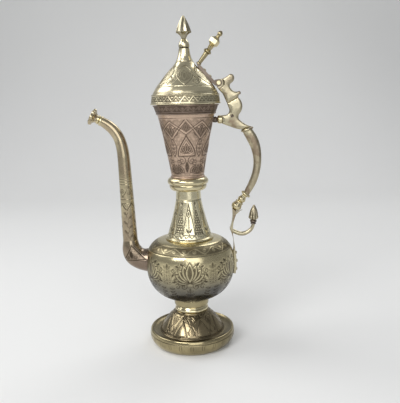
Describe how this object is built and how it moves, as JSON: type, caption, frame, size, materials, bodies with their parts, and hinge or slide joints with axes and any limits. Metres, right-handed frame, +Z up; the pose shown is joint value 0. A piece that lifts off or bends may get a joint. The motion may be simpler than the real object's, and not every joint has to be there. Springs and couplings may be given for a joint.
{
  "type": "lidded ewer",
  "caption": "Tall engraved brass ewer on a dished foot, with a slim elbowed spout, a curved cast handle and a bell-shaped lid that swings open on a hinge under a thumb lever.",
  "frame": {"origin": "centre of the foot's rest face, on the pot's own axis", "axes": "+Z up along the pot's axis, -X towards the spout's mouth, +X towards the handle, Y across"},
  "size_m": [0.1867, 0.0982, 0.3597],
  "materials": {
    "foot_brass": "engraved and worn",
    "body_brass": "engraved, dulled by age",
    "neck_brass": "engraved panels",
    "copper_cup": "reddish, engraved trellis",
    "lid_brass": "smooth with engraved ovals",
    "spout_brass": "satin, engraved bands",
    "cast_brass": "matt casting",
    "polished_brass": "polished"
  },
  "bodies": {
    "pot": {"arm_boss": "cast_brass", "arm_ferrule": "cast_brass", "arm_pin": "cast_brass", "body_bowl": "body_brass", "body_shoulder": "body_brass", "foot_bead": "polished_brass", "foot_collar": "foot_brass", "foot_cone": "foot_brass", "foot_dish": "foot_brass", "grip_baluster": "cast_brass", "grip_collar": "cast_brass", "handle_arm": "cast_brass", "handle_grip": "cast_brass", "handle_tail": "cast_brass", "hinge_bracket": "cast_brass", "hinge_pin": "cast_brass", "knop_leaf": "cast_brass", "leaf_knop": "cast_brass", "lower_neck": "neck_brass", "mouth_band": "copper_cup", "neck_base_ring": "polished_brass", "neck_ring": "polished_brass", "scroll_arm": "cast_brass", "scroll_bud": "cast_brass", "scroll_ring": "cast_brass", "spout_elbow": "spout_brass", "spout_mouth": "spout_brass", "spout_ring": "polished_brass", "spout_tube": "spout_brass", "tail_rivet_1": "cast_brass", "tail_rivet_2": "cast_brass", "tail_rivet_3": "cast_brass", "upper_cup": "copper_cup"},
    "lid": {"lid_band": "lid_brass", "lid_sleeve": "lid_brass", "lid_dome": "lid_brass", "lid_spire": "lid_brass", "finial_bud": "polished_brass", "lid_strap": "cast_brass", "strap_rivet_1": "cast_brass", "strap_rivet_2": "cast_brass", "thumb_rod": "cast_brass", "thumb_knob": "cast_brass", "thumb_tip": "cast_brass"}
  },
  "joints": [
    {"name": "lid_hinge", "type": "hinge", "parent": "pot", "child": "lid", "pos_m": [0.0355, 0, 0.29], "axis": [0, 1, 0], "range_deg": [0, 88]}
  ]
}
